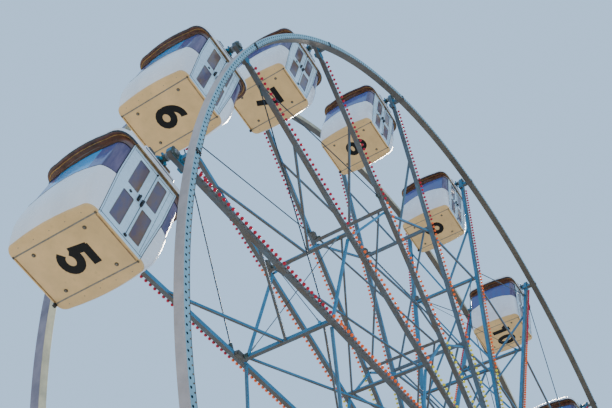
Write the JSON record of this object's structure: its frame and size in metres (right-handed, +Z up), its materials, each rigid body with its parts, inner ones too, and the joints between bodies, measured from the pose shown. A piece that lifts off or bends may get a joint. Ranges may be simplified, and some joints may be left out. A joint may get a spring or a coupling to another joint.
{
  "type": "ferris wheel",
  "caption": "Ferris wheel with level closed cabins hung between two rims on a blue open-lattice wheel, carried by an A-frame stand; the wheel turns and the cabins stay level.",
  "frame": {"origin": "on the floor, under the hub, at the middle of the stand", "axes": "+Z up; +Y along the axle towards the rear; the front of the wheel faces -Y; +X to the right seen from the front"},
  "size_m": [22.271, 7.62, 23.8352],
  "materials": {
    "spoke_paint": "satin sky-blue paint on steel box section",
    "rim_paint": "satin pale blue-grey paint on steel box section",
    "hub_paint": "satin blue paint on welded steel",
    "axle_steel": "turned steel",
    "tower_paint": "satin blue paint on steel box section",
    "cabin_shell": "glossy white gel coat on moulded glass fibre"
  },
  "bodies": {
    "stand": {"axle": "axle_steel", "front_bearing": "tower_paint", "rear_bearing": "tower_paint", "front_left_leg": "tower_paint", "front_right_leg": "tower_paint", "rear_left_leg": "tower_paint", "rear_right_leg": "tower_paint", "front_sill": "tower_paint", "rear_sill": "tower_paint", "left_sill": "tower_paint", "right_sill": "tower_paint"},
    "wheel": {"hub": "hub_paint", "front_rim": "rim_paint", "rear_rim": "rim_paint", "spoke_01": "spoke_paint", "spoke_02": "spoke_paint", "spoke_03": "spoke_paint", "spoke_04": "spoke_paint", "spoke_05": "spoke_paint", "spoke_06": "spoke_paint", "spoke_07": "spoke_paint", "spoke_08": "spoke_paint", "spoke_09": "spoke_paint", "spoke_10": "spoke_paint", "spoke_11": "spoke_paint", "spoke_12": "spoke_paint", "spoke_13": "spoke_paint", "spoke_14": "spoke_paint", "spoke_15": "spoke_paint", "spoke_16": "spoke_paint"},
    "cabin_01": {"cabin_01": "cabin_shell"},
    "cabin_02": {"cabin_02": "cabin_shell"},
    "cabin_03": {"cabin_03": "cabin_shell"},
    "cabin_04": {"cabin_04": "cabin_shell"},
    "cabin_05": {"cabin_05": "cabin_shell"},
    "cabin_06": {"cabin_06": "cabin_shell"},
    "cabin_07": {"cabin_07": "cabin_shell"},
    "cabin_08": {"cabin_08": "cabin_shell"},
    "cabin_09": {"cabin_09": "cabin_shell"},
    "cabin_10": {"cabin_10": "cabin_shell"},
    "cabin_11": {"cabin_11": "cabin_shell"},
    "cabin_12": {"cabin_12": "cabin_shell"},
    "cabin_13": {"cabin_13": "cabin_shell"},
    "cabin_14": {"cabin_14": "cabin_shell"},
    "cabin_15": {"cabin_15": "cabin_shell"},
    "cabin_16": {"cabin_16": "cabin_shell"}
  },
  "joints": [
    {"name": "wheel_spin", "type": "hinge", "parent": "stand", "child": "wheel", "pos_m": [0, 0, 13.4], "axis": [0, 1, 0], "continuous": true},
    {"name": "cabin_01_swing", "type": "hinge", "parent": "wheel", "child": "cabin_01", "pos_m": [1.82331, 0, 3.05952], "axis": [0, 1, 0], "continuous": true},
    {"name": "cabin_02_swing", "type": "hinge", "parent": "wheel", "child": "cabin_02", "pos_m": [-2.27262, 0, 3.14889], "axis": [0, 1, 0], "continuous": true},
    {"name": "cabin_03_swing", "type": "hinge", "parent": "wheel", "child": "cabin_03", "pos_m": [-6.02255, 0, 4.7989], "axis": [0, 1, 0], "continuous": true},
    {"name": "cabin_04_swing", "type": "hinge", "parent": "wheel", "child": "cabin_04", "pos_m": [-8.85561, 0, 7.75835], "axis": [0, 1, 0], "continuous": true},
    {"name": "cabin_05_swing", "type": "hinge", "parent": "wheel", "child": "cabin_05", "pos_m": [-10.34048, 0, 11.57669], "axis": [0, 1, 0], "continuous": true},
    {"name": "cabin_06_swing", "type": "hinge", "parent": "wheel", "child": "cabin_06", "pos_m": [-10.25111, 0, 15.67262], "axis": [0, 1, 0], "continuous": true},
    {"name": "cabin_07_swing", "type": "hinge", "parent": "wheel", "child": "cabin_07", "pos_m": [-8.6011, 0, 19.42255], "axis": [0, 1, 0], "continuous": true},
    {"name": "cabin_08_swing", "type": "hinge", "parent": "wheel", "child": "cabin_08", "pos_m": [-5.64165, 0, 22.25561], "axis": [0, 1, 0], "continuous": true},
    {"name": "cabin_09_swing", "type": "hinge", "parent": "wheel", "child": "cabin_09", "pos_m": [-1.82331, 0, 23.74048], "axis": [0, 1, 0], "continuous": true},
    {"name": "cabin_10_swing", "type": "hinge", "parent": "wheel", "child": "cabin_10", "pos_m": [2.27262, 0, 23.65111], "axis": [0, 1, 0], "continuous": true},
    {"name": "cabin_11_swing", "type": "hinge", "parent": "wheel", "child": "cabin_11", "pos_m": [6.02255, 0, 22.0011], "axis": [0, 1, 0], "continuous": true},
    {"name": "cabin_12_swing", "type": "hinge", "parent": "wheel", "child": "cabin_12", "pos_m": [8.85561, 0, 19.04165], "axis": [0, 1, 0], "continuous": true},
    {"name": "cabin_13_swing", "type": "hinge", "parent": "wheel", "child": "cabin_13", "pos_m": [10.34048, 0, 15.22331], "axis": [0, 1, 0], "continuous": true},
    {"name": "cabin_14_swing", "type": "hinge", "parent": "wheel", "child": "cabin_14", "pos_m": [10.25111, 0, 11.12738], "axis": [0, 1, 0], "continuous": true},
    {"name": "cabin_15_swing", "type": "hinge", "parent": "wheel", "child": "cabin_15", "pos_m": [8.6011, 0, 7.37745], "axis": [0, 1, 0], "continuous": true},
    {"name": "cabin_16_swing", "type": "hinge", "parent": "wheel", "child": "cabin_16", "pos_m": [5.64165, 0, 4.54439], "axis": [0, 1, 0], "continuous": true}
  ],
  "couplings": [
    {"joint": "cabin_01_swing", "follows": "wheel_spin", "ratio": -1},
    {"joint": "cabin_02_swing", "follows": "wheel_spin", "ratio": -1},
    {"joint": "cabin_03_swing", "follows": "wheel_spin", "ratio": -1},
    {"joint": "cabin_04_swing", "follows": "wheel_spin", "ratio": -1},
    {"joint": "cabin_05_swing", "follows": "wheel_spin", "ratio": -1},
    {"joint": "cabin_06_swing", "follows": "wheel_spin", "ratio": -1},
    {"joint": "cabin_07_swing", "follows": "wheel_spin", "ratio": -1},
    {"joint": "cabin_08_swing", "follows": "wheel_spin", "ratio": -1},
    {"joint": "cabin_09_swing", "follows": "wheel_spin", "ratio": -1},
    {"joint": "cabin_10_swing", "follows": "wheel_spin", "ratio": -1},
    {"joint": "cabin_11_swing", "follows": "wheel_spin", "ratio": -1},
    {"joint": "cabin_12_swing", "follows": "wheel_spin", "ratio": -1},
    {"joint": "cabin_13_swing", "follows": "wheel_spin", "ratio": -1},
    {"joint": "cabin_14_swing", "follows": "wheel_spin", "ratio": -1},
    {"joint": "cabin_15_swing", "follows": "wheel_spin", "ratio": -1},
    {"joint": "cabin_16_swing", "follows": "wheel_spin", "ratio": -1}
  ]
}
